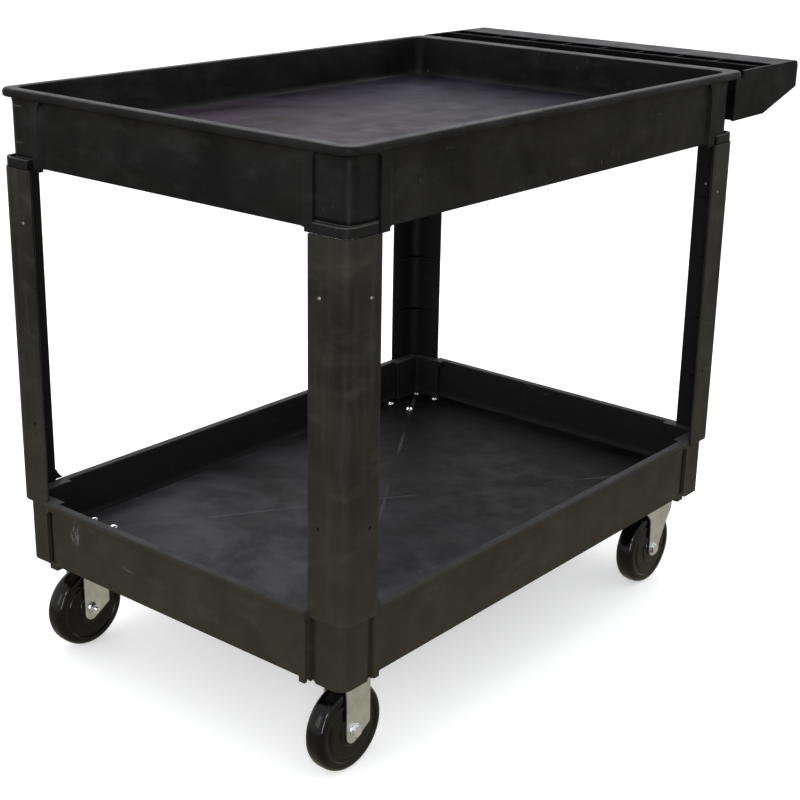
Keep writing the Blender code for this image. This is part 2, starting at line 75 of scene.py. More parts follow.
# ---- sizes that shapes and materials share, from the trays' middle ----
U_CORNER = (0.4036, 0.2621)                     # where the upper tray's corners begin
U_FLOOR_TOP = 0.806                             # top of the floor's painted tone, sheen and shade
L_CORNER = (0.4030, 0.2610)                     # where the lower tray's corner blocks begin
L_INSIDE = (0.4675, 0.3152)                     # between the inner and outer faces of its walls
L_FLOOR_TOP = 0.196
L_BLOCK = (0.4635, 0.3185)                      # outer faces of a corner block
BLOCK_RADIUS = 0.018
CREASE_END = (0.452, 0.3005)                    # ends of the lower floor's diagonal creases
POST = (0.4685, 0.3265)                         # outer faces of a post
POST_RADIUS = 0.021
HOLE_ROWS = (0.378, 0.679)
HOLES = {"X": (0.4662, 0.2810), "Y": (0.4230, 0.3242)}   # by the axis that they run along


# ---- mesh helpers ----
def grow(target, source):
    """Copies one bmesh into another and frees it."""
    mesh = bpy.data.meshes.new("part")
    source.to_mesh(mesh)
    source.free()
    target.from_mesh(mesh)
    bpy.data.meshes.remove(mesh)


def skin(piece, rings):
    """Joins matched closed rings with quads and returns their rows of vertices."""
    rows = [[piece.verts.new(p) for p in ring] for ring in rings]
    count = len(rows[0])
    for a, b in zip(rows, rows[1:]):
        for i in range(count):
            j = (i + 1) % count
            piece.faces.new((a[i], a[j], b[j], b[i]))
    return rows


def loft(bm, rings, start_point=None, end_point=None):
    """Skins matched closed rings; a given end point closes that end with a fan."""
    piece = bmesh.new()
    rows = skin(piece, rings)
    for row, point in ((rows[0], start_point), (rows[-1], end_point)):
        if point is not None:
            tip = piece.verts.new(point)
            for i in range(len(row)):
                piece.faces.new((row[i], row[(i + 1) % len(row)], tip))
    bmesh.ops.recalc_face_normals(piece, faces=piece.faces)
    grow(bm, piece)


def soften(piece, radius, segments):
    """Rounds every edge that folds by more than 25 degrees."""
    if radius:
        limit = math.radians(25)
        sharp = [e for e in piece.edges if len(e.link_faces) == 2 and e.calc_face_angle(0) > limit]
        bmesh.ops.bevel(piece, geom=sharp, offset=radius, segments=segments, profile=0.5,
                        affect="EDGES", clamp_overlap=True)


def slab(bm, low, high, radius=0.0008, segments=2):
    """A box with rounded edges between two opposite corners."""
    low, high = Vector(map(min, low, high)), Vector(map(max, low, high))
    piece = bmesh.new()
    bmesh.ops.create_cube(piece, size=1.0)
    bmesh.ops.scale(piece, vec=high - low, verts=piece.verts)
    bmesh.ops.translate(piece, vec=(high + low) / 2, verts=piece.verts)
    soften(piece, radius, segments)
    grow(bm, piece)


def across(axis, a, b, along):
    """A point from two values across an axis and one along it."""
    return {"X": (along, a, b), "Y": (a, along, b), "Z": (a, b, along)}[axis]


def prism(bm, outline, low, high, axis="Z", radius=0.0008, segments=2):
    """A flat outline thickened between two stations along an axis, edges rounded."""
    piece = bmesh.new()
    first = [piece.verts.new(across(axis, a, b, low)) for a, b in outline]
    last = [piece.verts.new(across(axis, a, b, high)) for a, b in outline]
    piece.faces.new(first)
    piece.faces.new(last)
    count = len(outline)
    for i in range(count):
        j = (i + 1) % count
        piece.faces.new((first[i], first[j], last[j], last[i]))
    bmesh.ops.recalc_face_normals(piece, faces=piece.faces)
    soften(piece, radius, segments)
    grow(bm, piece)


def lathe(bm, profile, at, axis="Z", steps=48):
    """Turns a profile of (radius, height) points about an axis through `at`.

    A profile that begins on the axis is a solid with two poles, any other is a closed ring.
    """
    def spot(radius, height, turn=0.0):
        a, b = radius * math.cos(turn), radius * math.sin(turn)
        return Vector(at) + Vector(across(axis, a, b, height))

    turns = [2 * math.pi * k / steps for k in range(steps)]
    rings = [[spot(radius, height, turn) for turn in turns] for radius, height in profile]
    if profile[0][0] > 1e-6:
        loft(bm, rings + rings[:1])
        bmesh.ops.remove_doubles(bm, verts=bm.verts, dist=1e-7)
    else:
        loft(bm, rings[1:-1], spot(*profile[0]), spot(*profile[-1]))


def arc(centre, radius, start, end, steps):
    """Points along an arc, its angles in degrees."""
    angles = [math.radians(start + (end - start) * i / steps) for i in range(steps + 1)]
    return [(centre[0] + radius * math.cos(t), centre[1] + radius * math.sin(t)) for t in angles]


def piece_of(name, bm, body, slot, material, *nodes, sharp=38):
    """Turns a bmesh into a named piece that stands for the given CAD nodes."""
    mesh = bpy.data.meshes.new(name)
    bmesh.ops.recalc_face_normals(bm, faces=bm.faces)
    bm.to_mesh(mesh)
    bm.free()
    for face in mesh.polygons:
        face.use_smooth = True
    mesh.set_sharp_from_angle(angle=math.radians(sharp))
    mesh.materials.append(material)
    obj = bpy.data.objects.new(name, mesh)
    bpy.context.scene.collection.objects.link(obj)
    normals = obj.modifiers.new("face_weighted", "WEIGHTED_NORMAL")
    normals.keep_sharp = True
    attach(obj, body)
    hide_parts(*nodes)


# ---- node helpers ----
class Paint:
    """A Principled material with short calls for procedural nodes in object space."""

    def __init__(self, name, roughness=0.5, metallic=0.0, specular=0.5):
        self.material = bpy.data.materials.new(name)
        self.material.use_nodes = True
        self.nodes = self.material.node_tree.nodes
        self.links = self.material.node_tree.links
        self.shader = self.nodes["Principled BSDF"]
        self.shader.inputs["Roughness"].default_value = roughness
        self.shader.inputs["Metallic"].default_value = metallic
        self.shader.inputs["Specular IOR Level"].default_value = specular
        self.coords = self.nodes.new("ShaderNodeTexCoord").outputs["Object"]
        self.material.use_fake_user = True

    def put(self, socket, value):
        if isinstance(value, (int, float, tuple)):
            socket.default_value = value
        else:
            self.links.new(value, socket)

    def new(self, kind, **inputs):
        """A new node, its inputs given by name with _ for a space."""
        node = self.nodes.new("ShaderNode" + kind)
        for key, value in inputs.items():
            self.put(node.inputs[key.replace("_", " ")], value)
        return node

    def stretch(self, scale, offset=(0, 0, 0), turn=(0, 0, 0), source=None):
        node = self.new("Mapping", Vector=source or self.coords, Scale=scale, Location=offset,
                        Rotation=turn)
        return node.outputs["Vector"]

    def noise(self, scale, detail=4.0, rough=0.55, vector=None, distort=0.0):
        node = self.new("TexNoise", Vector=vector or self.coords, Scale=scale, Detail=detail,
                        Roughness=rough, Distortion=distort)
        return node.outputs["Fac"]

    def ramp(self, value, low, high, out_low=0.0, out_high=1.0):
        node = self.new("MapRange", Value=value, From_Min=low, From_Max=high, To_Min=out_low,
                        To_Max=out_high)
        node.interpolation_type = "SMOOTHSTEP"
        return node.outputs["Result"]

    def math(self, how, a, b=0.0, clamp=False):
        node = self.new("Math")
        node.operation, node.use_clamp = how, clamp
        self.put(node.inputs[0], a)
        self.put(node.inputs[1], b)
        return node.outputs[0]

    def mix(self, factor, a, b, how="MIX"):
        node = self.new("Mix")
        node.data_type, node.blend_type = "RGBA", how
        self.put(node.inputs["Factor"], factor)
        for socket, value in ((node.inputs[6], a), (node.inputs[7], b)):
            self.put(socket, (*value, 1.0) if isinstance(value, tuple) else value)
        return node.outputs[2]

    def axes(self, source=None):
        return self.new("SeparateXYZ", Vector=source or self.coords).outputs

    def facing_up(self):
        return self.axes(self.new("NewGeometry").outputs["Normal"])["Z"]

    def join(self, a, b, c):
        return self.new("CombineXYZ", X=a, Y=b, Z=c).outputs[0]

    def from_middle(self, place):
        """How far a point is from the trays' two middle planes."""
        return (self.math("ABSOLUTE", self.math("SUBTRACT", place["X"], X0)),
                self.math("ABSOLUTE", place["Y"]))

    def times(self, first, *others):
        """The product of several values."""
        for other in others:
            first = self.math("MULTIPLY", first, other)
        return first

    def beyond(self, a, b, corner):
        """1 where both distances are greater than the corner's."""
        return self.times(*(self.math("GREATER_THAN", v, c) for v, c in zip((a, b), corner)))

    def outward(self, a, b, centre):
        """How far a point lies outside a quarter plane whose corner is the given centre."""
        sides = [self.math("MAXIMUM", self.math("SUBTRACT", v, c), 0.0)
                 for v, c in zip((a, b), centre)]
        squares = [self.math("MULTIPLY", v, v) for v in sides]
        return self.math("SQRT", self.math("ADD", *squares))

    def near(self, centre, reach, source=None):
        """1 at a point, falling to 0 over an ellipsoid round it."""
        scale = tuple(1 / r for r in reach)
        offset = tuple(-c * k for c, k in zip(centre, scale))
        node = self.new("VectorMath")
        node.operation = "LENGTH"
        self.links.new(self.stretch(scale, offset, source=source), node.inputs[0])
        return self.ramp(node.outputs["Value"], 0.35, 1.0, 1.0, 0.0)

    def bump(self, height, strength, distance, under=None):
        node = self.new("Bump", Strength=strength, Distance=distance, Height=height)
        if under is not None:
            self.links.new(under, node.inputs["Normal"])
        return node.outputs["Normal"]

    def finish(self, colour=None, roughness=None, normal=None):
        for key, value in (("Base Color", colour), ("Roughness", roughness), ("Normal", normal)):
            if value is not None:
                self.links.new(value, self.shader.inputs[key])
        return self.material


def groove_shade_and_edge_highlight(p, tone, place, a, b):
    """Upper tray: painted shade for a groove above each post's collar, and a painted highlight
    along the collar's top edge below it.
    """
    corner = p.beyond(a, b, U_CORNER)
    groove = p.times(corner, p.ramp(place["Z"], 0.7686, 0.7690), p.ramp(place["Z"], 0.7745, 0.7720))
    edge = p.times(corner, p.ramp(place["Z"], 0.7668, 0.7674), p.ramp(place["Z"], 0.7689, 0.7685))
    # painted shade: a dark band above the collar where a groove would lie in shadow
    tone = p.mix(groove, tone, (0.0012, 0.0012, 0.0014))
    # painted highlight along the collar's top edge
    return p.mix(edge, tone, (0.045, 0.045, 0.043))


def inside_shade(p, tone, a, b):
    """Lower tray: painted shade on the walls' inner faces and the blocks' inner parts."""
    inside = p.times(p.math("LESS_THAN", a, L_INSIDE[0]), p.math("LESS_THAN", b, L_INSIDE[1]))
    corner = p.beyond(a, b, L_CORNER)
    inside = p.times(inside, p.math("SUBTRACT", 1.0, corner))
    centre = [v - BLOCK_RADIUS for v in L_BLOCK]
    block_inner_shade = p.times(corner, p.math("LESS_THAN", p.outward(a, b, centre), 0.0120))
    # painted shade: the inner faces get a darker tone
    return p.mix(p.math("MAXIMUM", inside, block_inner_shade), tone, (0.0065, 0.0065, 0.0068))


def post_tone_shade_and_hole_light(p, tone, light, place, a, b):
    """Posts: upright streaks, painted shade on the inner faces and painted light spots in the upper
    holes.
    """
    fold = p.join(a, b, place["Z"])
    # painted light: pale spots on the discs in the upper holes stand for light showing through them
    dots = [p.near((x, y, HOLE_ROWS[1] - 0.0008), (0.0042, 0.0042, 0.0027), fold)
            for x, y in HOLES.values()]
    streak = p.ramp(p.noise(1.0, 4.0, 0.6, p.stretch((70.0, 70.0, 5.0))), 0.46, 0.70, 0.0, 0.45)
    tone = p.mix(streak, tone, tuple(1.7 * c for c in light))
    # painted shade on the inner faces of the angle
    centre = [v - POST_RADIUS for v in POST]
    inner = p.math("LESS_THAN", p.outward(a, b, centre), POST_RADIUS - 0.0022)
    tone = p.mix(inner, tone, (0.0045, 0.0045, 0.0047))
    return p.mix(p.math("MAXIMUM", *dots), tone, (0.30, 0.30, 0.28))


def floor_tone_sheen_and_shade(p, tone, place, top, lit_rear_tone, shaded_front_tone, crease_highlight=None):
    """A tray's floor: painted sheen and shade from rear to front, cloudy patches and slanting rubs.
    """
    flat = p.times(p.ramp(p.facing_up(), 0.80, 0.97), p.ramp(place["Z"], top + 0.004, top),
                   p.ramp(place["Z"], top - 0.016, top - 0.012))
    # painted light: brighter at the rear, darker at the front
    ground = p.mix(p.ramp(place["X"], X0 - 0.30, X0 + 0.26), lit_rear_tone, shaded_front_tone)
    patch = p.ramp(p.noise(4.2, 6.0, 0.62, distort=0.9), 0.30, 0.72, 0.30, 1.60)
    ground = p.mix(1.0, ground, p.join(patch, patch, patch), "MULTIPLY")
    rub = p.noise(1.0, 3.0, 0.55, p.stretch((9.0, 150.0, 1.0), turn=(0.0, 0.0, 0.45)), 1.6)
    rubs_and_crease_highlight = p.times(p.ramp(rub, 0.56, 0.72), p.ramp(p.noise(5.0, 3.0), 0.42, 0.66), 0.16)
    if crease_highlight is not None:
        rubs_and_crease_highlight = p.math("MAXIMUM", rubs_and_crease_highlight, crease_highlight)
    # pale rubs, and on the lower floor a painted highlight along the creases
    ground = p.mix(rubs_and_crease_highlight, ground, (0.085, 0.082, 0.092))
    return p.mix(flat, tone, ground)


def crease_highlight_mask(p, a, b):
    """Broken pale lines painted as a highlight along the lower floor's diagonal creases."""
    u, v = (p.math("DIVIDE", value, end) for value, end in zip((a, b), CREASE_END))
    line = p.ramp(p.math("ABSOLUTE", p.math("SUBTRACT", u, v)), 0.0, 0.016, 1.0, 0.0)
    return p.times(line, p.ramp(p.noise(8.0, 3.0), 0.40, 0.70, 0.0, 0.7))


def scratches(p, strength):
    """Fine pale scratches in two directions, in patches."""
    along = p.noise(1.0, 3.0, 0.5, p.stretch((9.0, 230.0, 90.0), turn=(0.1, 0.2, 0.5)))
    over = p.noise(1.0, 3.0, 0.5, p.stretch((240.0, 12.0, 70.0), turn=(0.3, 0.1, -0.6)))
    marks = p.math("MAXIMUM", p.ramp(along, 0.66, 0.74), p.ramp(over, 0.67, 0.75))
    where = p.ramp(p.noise(11.0, 2.0), 0.56, 0.70)
    return p.math("MULTIPLY", p.times(marks, where), strength, clamp=True)


def chips_and_dust(p):
    """Lower tray: pale chips on the rear wall and dust along the right edge of the floor."""
    chips = p.times(p.near((X0 - 0.474, 0.196, 0.226), (0.02, 0.014, 0.022)),
                    p.ramp(p.noise(1.0, 4.0, 0.6, p.stretch((260.0, 260.0, 110.0))), 0.50, 0.62))
    grit = p.noise(1.0, 4.0, 0.7, p.stretch((40.0, 300.0, 60.0)))
    dust = p.times(p.near((X0 + 0.24, -0.262, 0.190), (0.17, 0.028, 0.02)),
                   p.ramp(grit, 0.52, 0.62, 0.0, 0.8))
    return p.math("MAXIMUM", chips, dust)


def plastic(name, kind, dark, light, ground_bounce_tint, roughness=0.46, pebble=0.25, scuffs=0.4,
            specular=0.11, rim=None, floor=None):
    """Moulded black polyethylene: cloudy tone, fine pebble, rubbed patches and pale scratches.

    kind is upper, lower, post or handle; the tone near the ground is a painted reflection of the
    floor; rim is the height of a top edge with a painted highlight; floor is (highest z, painted
    lit tone at the rear, painted shaded tone at the front).
    """
    p = Paint(name, specular=specular)
    place = p.axes()
    a, b = p.from_middle(place)
    tone = p.mix(p.ramp(p.noise(7.0, 5.0, 0.6, distort=0.6), 0.34, 0.68), dark, light)
    # painted reflection: a warm tone towards the ground stands for light bounced off the floor
    lower = p.times(p.ramp(place["Z"], 0.62, 0.12),
                    p.ramp(p.noise(16.0, 3.0), 0.3, 0.75, 0.55, 1.0))
    tone = p.mix(lower, tone, ground_bounce_tint)
    smear = p.noise(1.0, 5.0, 0.65, p.stretch((11.0, 11.0, 26.0)))
    tone = p.mix(p.ramp(smear, 0.50, 0.72, 0.0, 0.55), tone, tuple(2.1 * c for c in light))
    marks = scratches(p, scuffs)
    if kind == "upper":
        tone = groove_shade_and_edge_highlight(p, tone, place, a, b)
        tone = floor_tone_sheen_and_shade(p, tone, place, *floor)
    if kind == "lower":
        tone = inside_shade(p, tone, a, b)
        tone = floor_tone_sheen_and_shade(p, tone, place, *floor, crease_highlight_mask(p, a, b))
        marks = p.math("MAXIMUM", marks, chips_and_dust(p), clamp=True)
    if kind == "post":
        tone = post_tone_shade_and_hole_light(p, tone, light, place, a, b)
    tone = p.mix(marks, tone, (0.10, 0.10, 0.104))
    if rim:
        # painted highlight along the rim's top edge
        edge = p.times(p.ramp(place["Z"], rim - 0.0012, rim - 0.0002),
                       p.ramp(p.noise(30.0, 3.0), 0.3, 0.7, 0.55, 1.0))
        tone = p.mix(edge, tone, (0.040, 0.040, 0.043))
    rough = p.ramp(p.noise(24.0, 4.0), 0.3, 0.7, roughness - 0.06, roughness + 0.09)
    waves = p.bump(p.noise(26.0, 2.0, 0.5), 0.30, 0.0022)
    return p.finish(tone, rough, p.bump(p.noise(1150.0, 2.0, 0.5), pebble, 0.00025, waves))


def metal(name, colour, roughness, streak=(40.0, 40.0, 700.0)):
    """Bare or plated steel: soft blotches and fine rolling lines."""
    p = Paint(name, metallic=1.0)
    blotch = p.ramp(p.noise(60.0, 4.0), 0.3, 0.7)
    tone = p.mix(blotch, colour, tuple(0.84 * c for c in colour))
    lines = p.noise(1.0, 2.0, 0.5, p.stretch(streak))
    rough = p.ramp(p.noise(90.0, 3.0), 0.3, 0.7, roughness - 0.05, roughness + 0.09)
    normal = p.bump(lines, 0.10, 0.0002)
    return p.finish(tone, rough, normal)


def tyre(name):
    """Hard glossy tyre: a cloudy tone with dust and small nicks."""
    p = Paint(name, specular=0.20)
    cloud = p.ramp(p.noise(35.0, 4.0), 0.35, 0.7)
    tone = p.mix(cloud, (0.0018, 0.0017, 0.0015), (0.0050, 0.0042, 0.0032))
    dust = p.ramp(p.noise(160.0, 3.0), 0.66, 0.78, 0.0, 0.35)
    tone = p.mix(dust, tone, (0.018, 0.017, 0.015))
    rough = p.ramp(p.noise(45.0, 4.0), 0.3, 0.7, 0.10, 0.18)
    normal = p.bump(p.noise(70.0, 3.0), 0.12, 0.0006)
    return p.finish(tone, rough, normal)


M_UPPER = plastic("tray_plastic_upper", "upper", (0.0032, 0.0032, 0.0036),
                  (0.0088, 0.0086, 0.0090), (0.011, 0.010, 0.008), 0.42, 0.20, specular=0.07,
                  # upper floor: painted sheen, brightest at the rear
                  rim=TOP_Z, floor=(U_FLOOR_TOP, (0.027, 0.0165, 0.026), (0.0155, 0.0135, 0.021)))
# the lower tray's tones are lighter and warmer than the upper's: painted reflection of the floor on
# the same plastic
M_LOWER_LIT = plastic("tray_plastic_lower", "lower", (0.010, 0.0095, 0.0088),
                  (0.020, 0.0190, 0.0155), (0.028, 0.0255, 0.0165), 0.52,
                  # lower floor: painted shadow of the upper tray, darkest at the front
                  rim=RIM.z, floor=(L_FLOOR_TOP, (0.048, 0.047, 0.052), (0.0030, 0.0030, 0.0034)))
M_POST = plastic("post_plastic_mould", "post", (0.007, 0.0068, 0.0060),
                 (0.017, 0.0162, 0.0130), (0.030, 0.0275, 0.0185), scuffs=0.3)
M_HANDLE = plastic("handle_plastic_mould", "handle", (0.0020, 0.0020, 0.0023),
                   (0.0045, 0.0044, 0.0048), (0.008, 0.008, 0.008), scuffs=0.3, specular=0.045,
                   rim=TOP_Z)
M_TYRE = tyre("wheel_rubber_gloss")
M_ZINC = metal("zinc_plate", (0.68, 0.715, 0.70), 0.34)
M_BRIGHT = metal("bright_bolt", (0.90, 0.93, 1.00), 0.13, (300.0, 300.0, 300.0))
M_BUSH = metal("turned_bushing", (0.42, 0.41, 0.39), 0.36)


# ---- tub rings ----
def straight(a, b, steps):
    """Points strictly between two points."""
    return [(a[0] + (b[0] - a[0]) * i / steps, a[1] + (b[1] - a[1]) * i / steps)
            for i in range(1, steps)]


def around(quarter, z, long_steps=20, short_steps=14):
    """A closed ring from one quarter's outline, given from the long side to the short side.

    quarter is called with the end and side signs, so that the four corners may differ. z is a
    height, or a function that gives it for a point.
    """
    quads = (((1, 1), True), ((-1, 1), False), ((-1, -1), True), ((1, -1), False))
    loops = []
    for signs, backward in quads:
        points = [(X0 + signs[0] * x, signs[1] * y) for x, y in quarter(*signs)]
        loops.append(points[::-1] if backward else points)
    ring = []
    for i, loop in enumerate(loops):
        ring += loop
        steps = long_steps if i % 2 == 0 else short_steps
        ring += straight(loop[-1], loops[(i + 1) % 4][0], steps)
    height = z if callable(z) else (lambda x, y: z)
    return [Vector((x, y, height(x, y))) for x, y in ring]


def scaled(ring, share, height):
    """A ring drawn in towards the trays' middle; height gives each point's z."""
    points = [(X0 + (p.x - X0) * share, p.y * share) for p in ring]
    return [Vector((x, y, height(x, y))) for x, y in points]


def plain_corner(x_rear, x_front, y, radius):
    def quarter(end, side):
        x = x_front if end > 0 else x_rear
        return arc((x - radius, y - radius), radius, 90, 0, 7)
    return quarter


# ---- upper tray ----
U_WALL = (0.455, 0.318)
U_RIM = (X0 - UP[0].x, UP[1].x - X0, UP[1].y)
U_CAVITY = (0.447, 0.311)
U_FLOOR = 0.798
U_UNDER = 0.7925                                # the floor's underside
U_BASE = 0.7575                                 # the walls' lower edge


def upper_floor_height(x, y):
    """The floor is a little higher in the middle than at its edges, and slightly wavy."""
    u, v = (x - X0) / 0.44, y / 0.305
    crown = 0.0011 * math.cos(1.5 * u) * math.cos(1.4 * v)
    return U_FLOOR + crown - 0.0004 * math.sin(5 * u + 1) * math.cos(4 * v)


def build_upper():
    bm = bmesh.new()
    wx, wy = U_WALL
    rings = []

    def add(rear, front, wide, radius, z):
        rings.append(around(plain_corner(rear, front, wide, radius), z))

    add(wx - 0.30, wx - 0.30, wy - 0.30, 0.004, U_UNDER)
    for out, z in ((-0.016, U_UNDER), (-0.0075, 0.7915), (-0.0055, 0.788),
                   (-0.0055, U_BASE + 0.0012), (-0.0043, U_BASE), (-0.0014, U_BASE),
                   (0.0, U_BASE + 0.0014), (0.0, 0.790), (0.0, 0.820), (0.0, 0.842)):
        add(wx + out, wx + out, wy + out, 0.019, z)
    add(wx + 0.0012, wx + 0.0012, wy + 0.0012, 0.0200, 0.8492)
    rear, front, wide = U_RIM
    for inward, up in ((0.0066, 0.0), (0.0022, 0.0002), (0.0006, 0.0012), (0.0, 0.0032),
                       (0.0, 0.0076), (0.0011, 0.0101), (0.0032, 0.0116), (0.0062, 0.0120)):
        add(rear - inward, front - inward, wide - inward, 0.022 - inward, TOP_Z - 0.0120 + up)
    cx, cy = U_CAVITY
    for out, down in ((0.0036, 0.0), (0.0014, -0.0003), (0.0004, -0.0014), (0.0, -0.0032),
                      (-0.0012, -0.020), (-0.0024, -0.040), (-0.0034, -0.0560),
                      (-0.0048, -0.0610), (-0.0082, -0.0641), (-0.0125, -0.0653)):
        add(cx + out, cx + out, cy + out, 0.018 + out, TOP_Z + down)
    flat_x, flat_y = cx - 0.0125, cy - 0.0125
    for share in (0.94, 0.86, 0.76, 0.64, 0.52, 0.40, 0.28, 0.17, 0.08):
        add(flat_x * share, flat_x * share, flat_y * share, 0.0055 * share, upper_floor_height)
    loft(bm, rings, Vector((X0, 0, U_UNDER)), Vector((X0, 0, upper_floor_height(X0, 0))))
    for end, side in CORNERS:
        corner_bands(bm, end, side)
        collar(bm, end, side)
    piece_of("upper_tray_shell", bm, CART, "tray_plastic", M_UPPER, "upper_tray")


def corner_bands(bm, end, side):
    """The upright band where each wall meets a corner, with a sloped flank towards the wall."""
    top = 0.8520
    wx, wy = U_WALL
    for axis, near, far, wall in (("Y", 0.386, 0.4035, wy), ("X", 0.2485, 0.2620, wx)):
        long_wall = axis == "Y"
        sign, offset = (end, X0) if long_wall else (side, 0.0)
        face, about = (side, 0.0) if long_wall else (end, X0)
        shape = [(near, U_BASE - 0.0045), (far, U_BASE - 0.0045), (far, top - 0.009)]
        shape += arc((far + 0.0075, top - 0.009), 0.0075, 180, 90, 5)[1:]
        shape += [(near - 0.009, top), (near - 0.0035, top - 0.010), (near, top - 0.024)]
        shape = [(offset + sign * a, b) for a, b in shape]
        low, high = (about + face * (wall + d) for d in (-0.003, 0.0041))
        prism(bm, shape, low, high, axis, 0.0011)
        slope = [(near - 0.0100, wall - 0.0008), (near - 0.0070, wall + 0.0006),
                 (near - 0.0010, wall + 0.0036), (near + 0.0020, wall + 0.0039),
                 (near + 0.0020, wall - 0.0020), (near - 0.0100, wall - 0.0020)]
        slope = [(offset + sign * a, about + face * b) for a, b in slope]
        if not long_wall:
            slope = [(b, a) for a, b in slope]
        prism(bm, slope, U_BASE + 0.0004, 0.8512, "Z", 0.0)


def collar(bm, end, side):
    """The band over a post, thicker in its lower part."""
    x, y, arm, bend = 0.4655, 0.3235, 0.0565, 0.018
    low, high = 0.7548, 0.7685
    for inset, thick, z0, z1 in ((0.0, 0.0046, low, high),
                                 (0.0008, 0.0125, low + 0.0004, high - 0.0085)):
        fx, fy = x - inset, y - inset
        shape = [(x - arm, fy)] + arc((fx - bend, fy - bend), bend, 90, 0, 7)
        shape += [(fx, y - arm), (x - thick, y - arm)]
        shape += arc((x - bend, y - bend), max(bend - thick, 0.0056), 0, 90, 7)
        shape += [(x - arm, y - thick)]
        prism(bm, [(X0 + end * a, side * b) for a, b in shape], z0, z1, "Z", 0.0009)


# ---- lower tray ----
L_NOTCH = (0.4037, 0.2617)
L_FLOOR = 0.1868
L_UNDER = 0.1822                                # the floor's underside
FLUTE_HALF, FLUTE_DEPTH = 0.0049, 0.0050
FADED_FLUTE = (0.0014, 0.0002)                  # what is left of a flute at the rim


def lower_outer(dx, flute_half, flute_depth):
    """The outline outside: wall, flute, corner block, flute, wall. dx moves the walls only.

    Two opposite corners have an arched slot in each wall's end in place of the flutes.
    """
    wx, wy = RIM.x - 0.0035 + dx, RIM.y - 0.0035 + dx
    bx, by = L_BLOCK
    centre = 0.0056                             # from the block's start to its flute's middle
    turn = arc((bx - BLOCK_RADIUS, by - BLOCK_RADIUS), BLOCK_RADIUS, 90, 0, 7)

    def quarter(end, side):
        nx, ny = L_NOTCH
        if end != side:
            half, deep = flute_half * 1.75, flute_depth * 1.9
            sx, sy = nx - 0.0098, ny - 0.0098
            first = [(sx - half, wy), (sx - half + 0.0001, wy - deep)]
            first += [(sx + half - 0.0001, wy - deep), (sx + half, wy)]
            first += [(nx, wy - 0.0010), (nx + 0.0105, by)]
            last = [(bx, ny + 0.0105), (wx - 0.0010, ny), (wx, sy + half)]
            last += [(wx - deep, sy + half - 0.0001), (wx - deep, sy - half + 0.0001)]
            return first + turn + last + [(wx, sy - half)]
        fy, fx = by - flute_depth, bx - flute_depth
        first = [(nx - 0.0012, wy), (nx, wy - 0.0010), (nx + centre - flute_half, by - 0.0001)]
        first += [(nx + centre - flute_half + 0.0001, fy), (nx + centre + flute_half - 0.0001, fy)]
        first += [(nx + centre + flute_half, by)]
        last = [(bx, ny + centre + flute_half), (fx, ny + centre + flute_half - 0.0001)]
        last += [(fx, ny + centre - flute_half + 0.0001), (bx - 0.0001, ny + centre - flute_half)]
        return first + turn + last + [(wx - 0.0010, ny), (wx, ny - 0.0012)]
    return quarter


def lower_inner(margin, steps_in):
    """The outline inside, with corners that step inwards round the posts' feet."""
    wx, wy = RIM.x - margin, RIM.y - margin
    nx, ny = L_NOTCH[0] - steps_in, L_NOTCH[1] - steps_in
    cx, cy = wx - 0.0105, wy - 0.0095
    radius = 0.006

    def quarter(end, side):
        first = [(nx - 0.0030, wy), (nx - 0.0010, wy), (nx, wy - 0.0010)]
        first += [(nx, cy + 0.0010), (nx + 0.0010, cy), (nx + 0.004, cy)]
        last = [(cx, ny + 0.004), (cx, ny + 0.0010), (cx + 0.0010, ny), (wx - 0.0010, ny)]
        last += [(wx, ny - 0.0010), (wx, ny - 0.0030)]
        return first + arc((cx - radius, cy - radius), radius, 90, 0, 7) + last
    return quarter


def lower_floor_height(x, y):
    """A shallow pyramid whose creases run along the diagonals, with slightly wavy faces."""
    u, v = (x - X0) / CREASE_END[0], y / CREASE_END[1]
    rise = 1 - min(1.0, max(abs(u), abs(v)))
    return L_FLOOR + 0.0040 * rise - 0.0003 * rise * math.sin(7 * u) * math.cos(5 * v)


